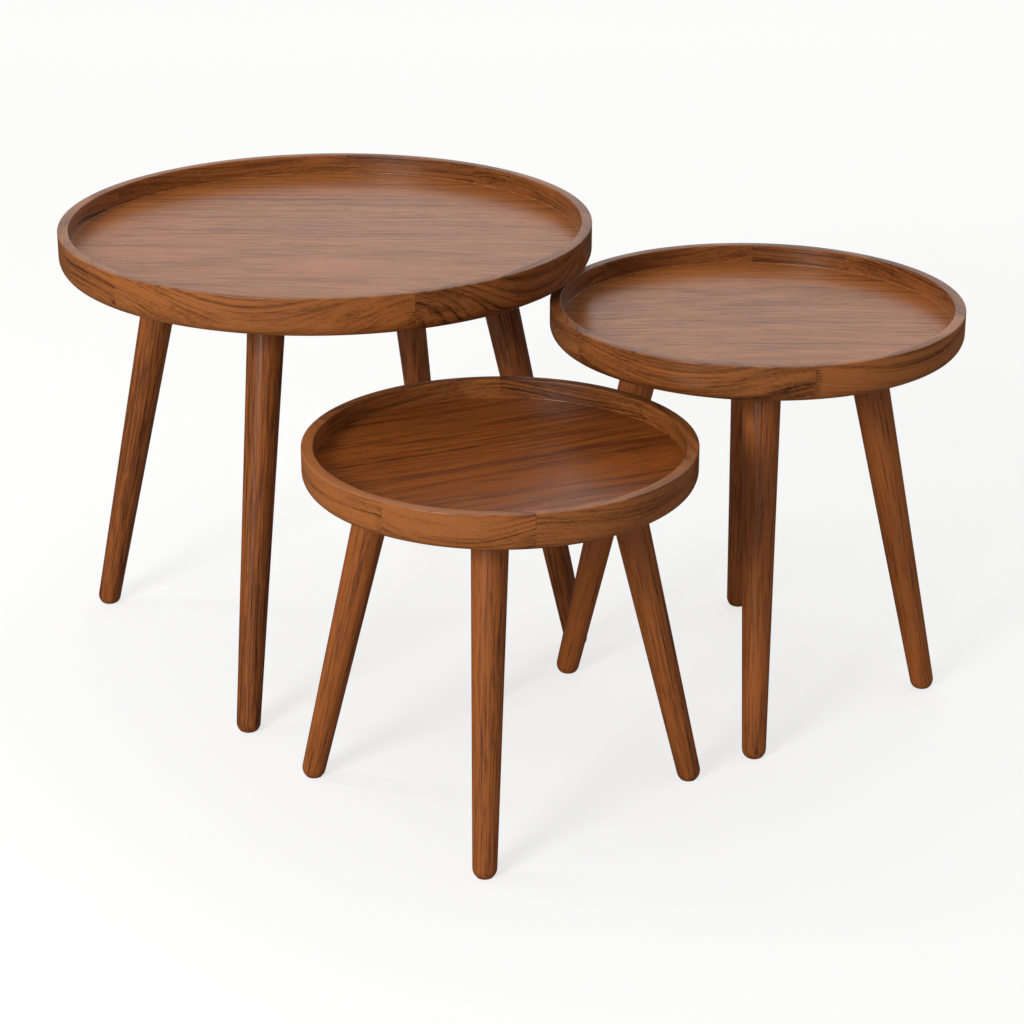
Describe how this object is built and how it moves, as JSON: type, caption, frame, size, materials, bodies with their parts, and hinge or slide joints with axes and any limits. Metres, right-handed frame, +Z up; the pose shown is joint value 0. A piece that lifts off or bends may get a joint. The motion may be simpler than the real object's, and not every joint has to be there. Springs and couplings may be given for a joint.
{
  "type": "nesting tables",
  "caption": "Set of round tray-top side tables in walnut on splayed, tapered turned legs; the smaller ones stand partly drawn out from under the large one.",
  "frame": {"origin": "centre of the whole set's bounding box in plan, on the floor", "axes": "+Z up; +Y from the small table at the front towards the back; +X to the right as seen from the front, from the large table towards the medium one"},
  "size_m": [1.0008, 0.9129, 0.502],
  "materials": {
    "veneer_light": "satin walnut veneer, straight fine grain",
    "veneer_dark": "satin walnut veneer, darker, crown-cut grain",
    "walnut_rim": "satin oiled solid walnut, finger-jointed lengths",
    "walnut_leg": "satin oiled solid walnut, turned",
    "core_board": "raw fibreboard",
    "zinc_plate": "zinc-plated pressed steel",
    "steel": "bright zinc-plated steel fastener",
    "felt": "dark pressed felt"
  },
  "bodies": {
    "large_table": {"large_top_veneer": "veneer_light", "large_core": "core_board", "large_backing_veneer": "veneer_light", "large_rim_1": "walnut_rim", "large_rim_2": "walnut_rim", "large_rim_3": "walnut_rim", "large_rim_4": "walnut_rim", "large_rim_5": "walnut_rim", "large_rim_6": "walnut_rim", "large_leg_front": "walnut_leg", "large_leg_right": "walnut_leg", "large_leg_back": "walnut_leg", "large_leg_left": "walnut_leg", "large_leg_plate_front": "zinc_plate", "large_leg_plate_right": "zinc_plate", "large_leg_plate_back": "zinc_plate", "large_leg_plate_left": "zinc_plate", "large_hanger_bolts": "steel", "large_plate_screws": "steel", "large_glides": "felt"},
    "medium_table": {"medium_top_veneer": "veneer_light", "medium_core": "core_board", "medium_backing_veneer": "veneer_light", "medium_rim_1": "walnut_rim", "medium_rim_2": "walnut_rim", "medium_rim_3": "walnut_rim", "medium_rim_4": "walnut_rim", "medium_rim_5": "walnut_rim", "medium_rim_6": "walnut_rim", "medium_leg_front": "walnut_leg", "medium_leg_right": "walnut_leg", "medium_leg_back": "walnut_leg", "medium_leg_left": "walnut_leg", "medium_leg_plate_front": "zinc_plate", "medium_leg_plate_right": "zinc_plate", "medium_leg_plate_back": "zinc_plate", "medium_leg_plate_left": "zinc_plate", "medium_hanger_bolts": "steel", "medium_plate_screws": "steel", "medium_glides": "felt"},
    "small_table": {"small_top_veneer": "veneer_dark", "small_core": "core_board", "small_backing_veneer": "veneer_light", "small_rim_1": "walnut_rim", "small_rim_2": "walnut_rim", "small_rim_3": "walnut_rim", "small_rim_4": "walnut_rim", "small_rim_5": "walnut_rim", "small_rim_6": "walnut_rim", "small_leg_front": "walnut_leg", "small_leg_right": "walnut_leg", "small_leg_back": "walnut_leg", "small_leg_left": "walnut_leg", "small_leg_plate_front": "zinc_plate", "small_leg_plate_right": "zinc_plate", "small_leg_plate_back": "zinc_plate", "small_leg_plate_left": "zinc_plate", "small_hanger_bolts": "steel", "small_plate_screws": "steel", "small_glides": "felt"}
  },
  "joints": [
    {"name": "medium_table_slide", "type": "slide", "parent": "large_table", "child": "medium_table", "axis": [-0.9593, 0.2823, 0], "range_m": [-0.25, 0.03]},
    {"name": "small_table_slide", "type": "slide", "parent": "large_table", "child": "small_table", "axis": [-0.3256, 0.9455, 0], "range_m": [-0.25, 0.12]}
  ]
}
